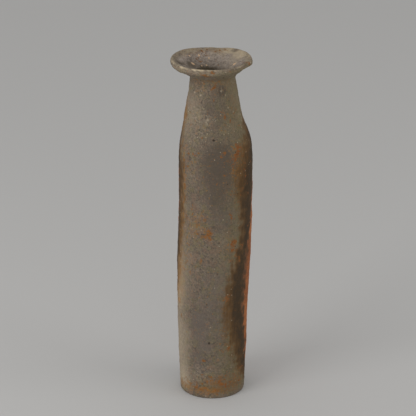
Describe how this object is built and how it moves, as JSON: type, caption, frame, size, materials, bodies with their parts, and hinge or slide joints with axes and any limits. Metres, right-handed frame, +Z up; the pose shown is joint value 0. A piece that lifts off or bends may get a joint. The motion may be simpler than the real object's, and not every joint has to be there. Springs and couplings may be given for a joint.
{
  "type": "bottle",
  "caption": "Tall slender hollow stoneware bottle with a straight body, sloping shoulder, tapering neck and flared dish mouth; stands on its flat base.",
  "frame": {"origin": "centre of the flat standing face", "axes": "+Z up the bottle; the front that the picture shows faces -Y, and its right side is +X"},
  "size_m": [0.0681, 0.067, 0.299],
  "materials": {
    "fired_clay": "unglazed, wood-fired, matte grey-brown with orange and ochre flashing"
  },
  "bodies": {
    "root": {"bottle": "fired_clay"}
  },
  "joints": []
}
